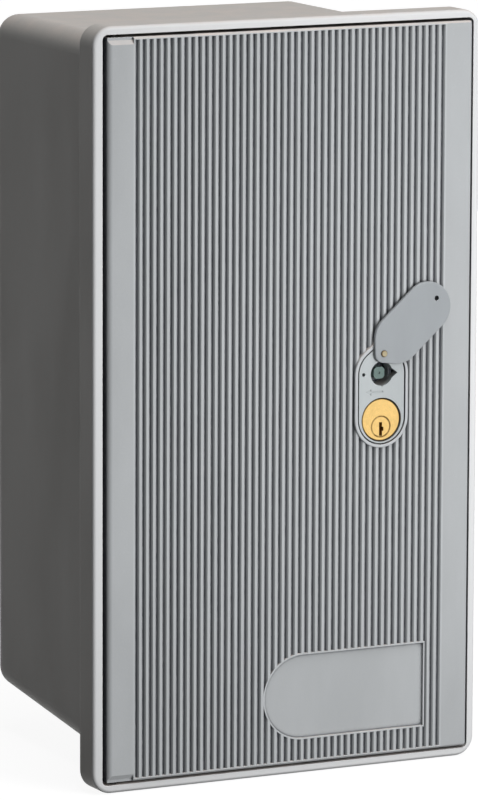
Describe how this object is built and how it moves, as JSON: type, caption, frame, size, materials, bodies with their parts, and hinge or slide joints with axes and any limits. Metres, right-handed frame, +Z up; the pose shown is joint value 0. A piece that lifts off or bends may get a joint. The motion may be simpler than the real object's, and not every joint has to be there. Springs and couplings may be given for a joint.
{
  "type": "electricity meter box",
  "caption": "Wall box for an electricity meter: deep moulded box, ribbed hinged door, key lock with a swing cover, service key socket and meter board.",
  "frame": {"origin": "centre of the four wall fixing holes, on the outside of the rear wall", "axes": "+Y into the wall, so the door faces -Y; +Z up; +X to the right of a person who faces the door"},
  "size_m": [0.236, 0.1852, 0.42],
  "materials": {
    "moulded_grey": "moulded glass-filled polyester, satin",
    "door_grey": "moulded glass-filled polyester, satin",
    "lock_grey": "smooth satin",
    "cover_grey": "smooth satin paint",
    "post_grey": "smooth",
    "brass": "turned and polished",
    "plated_steel": "zinc plated",
    "board_grey": "pressed laminate board",
    "case_plastic": "moulded, fine texture",
    "bush_plastic": "plain",
    "seal_rubber": "soft foam rubber",
    "grommet_rubber": "moulded rubber"
  },
  "bodies": {
    "box": {"body_shell": "moulded_grey", "door_gasket": "seal_rubber", "cable_grommets": "grommet_rubber", "meter_board": "board_grey", "board_screws": "plated_steel", "strike_bracket": "plated_steel", "strike_screws": "plated_steel", "hinge_pins": "plated_steel"},
    "door": {"door_panel": "door_grey", "hinge_bushes": "bush_plastic", "lock_plate": "lock_grey", "cover_rivet": "brass", "cylinder_housing": "brass", "cylinder_nut": "brass", "lock_case": "case_plastic", "lock_case_screws": "plated_steel"},
    "cover": {"swing_cover": "cover_grey"},
    "bolt": {"latch_bolt": "plated_steel"},
    "plug": {"cylinder_plug": "brass", "plug_cam": "plated_steel", "plug_cam_screw": "plated_steel"},
    "post": {"socket_post": "post_grey", "post_cam": "plated_steel", "post_cam_screw": "plated_steel"}
  },
  "joints": [
    {"name": "door_hinge", "type": "hinge", "parent": "box", "child": "door", "pos_m": [-0.1045, -0.175, 0], "axis": [0, 0, -1], "range_deg": [0, 110]},
    {"name": "cover_pivot", "type": "hinge", "parent": "door", "child": "cover", "pos_m": [0.0565, -0.1821, 0.0226], "axis": [0, -1, 0], "range_deg": [-131.4, 48.6]},
    {"name": "bolt_slide", "type": "slide", "parent": "door", "child": "bolt", "axis": [1, 0, 0], "range_m": [0, 0.01]},
    {"name": "plug_turn", "type": "hinge", "parent": "door", "child": "plug", "pos_m": [0.0565, -0.16005, -0.0186], "axis": [0, 1, 0], "range_deg": [0, 90]},
    {"name": "post_turn", "type": "hinge", "parent": "door", "child": "post", "pos_m": [0.0565, -0.16005, 0.0111], "axis": [0, -1, 0], "range_deg": [0, 90]}
  ],
  "couplings": [
    {"joint": "plug_turn", "follows": "bolt_slide", "rad_per_m": 157.08},
    {"joint": "post_turn", "follows": "bolt_slide", "rad_per_m": 157.08}
  ]
}
